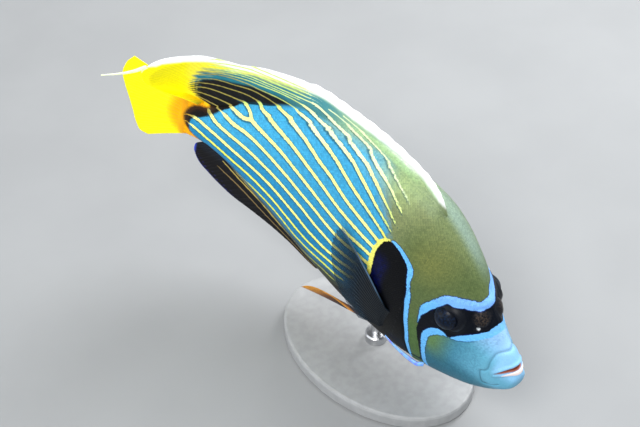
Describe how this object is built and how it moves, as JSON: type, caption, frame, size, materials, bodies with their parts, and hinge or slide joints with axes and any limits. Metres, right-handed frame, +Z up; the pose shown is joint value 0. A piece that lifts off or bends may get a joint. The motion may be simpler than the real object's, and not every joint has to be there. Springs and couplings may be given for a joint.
{
  "type": "angelfish model",
  "caption": "Life-size adult emperor angelfish model, nose down with its tail swung to its right, on an oval base with a short rod.",
  "frame": {"origin": "centre of the oval stand's underside, on the floor", "axes": "+Z up; the fish swims towards -Y, nose down, with its right side towards -X and its tail swung to its right"},
  "size_m": [0.1424, 0.3104, 0.2195],
  "materials": {
    "flank_blue": "satin scaled skin, sky blue with yellow stripes",
    "head_olive": "satin skin, olive green",
    "muzzle_blue": "satin skin, pale blue",
    "tail_yellow": "satin fin membrane, bright yellow",
    "fin_navy": "satin fin membrane, blue-black",
    "dorsal_teal": "satin fin membrane, pale teal",
    "pectoral_smoke": "thin smoky fin membrane",
    "pelvic_brown": "satin fin membrane, dark brown to amber",
    "spine_blue": "smooth lilac-blue spine",
    "eye_black": "wet glossy eye",
    "stand_grey": "satin grey paint",
    "rod_steel": "brushed steel"
  },
  "bodies": {
    "root": {"head": "head_olive", "trunk": "flank_blue", "caudal_peduncle": "flank_blue", "upper_jaw": "muzzle_blue", "lower_jaw": "muzzle_blue", "gill_cover_right": "head_olive", "gill_cover_left": "head_olive", "cheek_spine_right": "spine_blue", "cheek_spine_left": "spine_blue", "eye_right": "eye_black", "eye_left": "eye_black", "dorsal_fin_spiny": "dorsal_teal", "dorsal_fin_soft": "dorsal_teal", "anal_fin": "fin_navy", "caudal_fin": "tail_yellow", "pectoral_fin_right": "pectoral_smoke", "pectoral_fin_left": "pectoral_smoke", "pelvic_fin_right": "pelvic_brown", "pelvic_fin_left": "pelvic_brown", "stand_base": "stand_grey", "stand_rod": "rod_steel"}
  },
  "joints": []
}
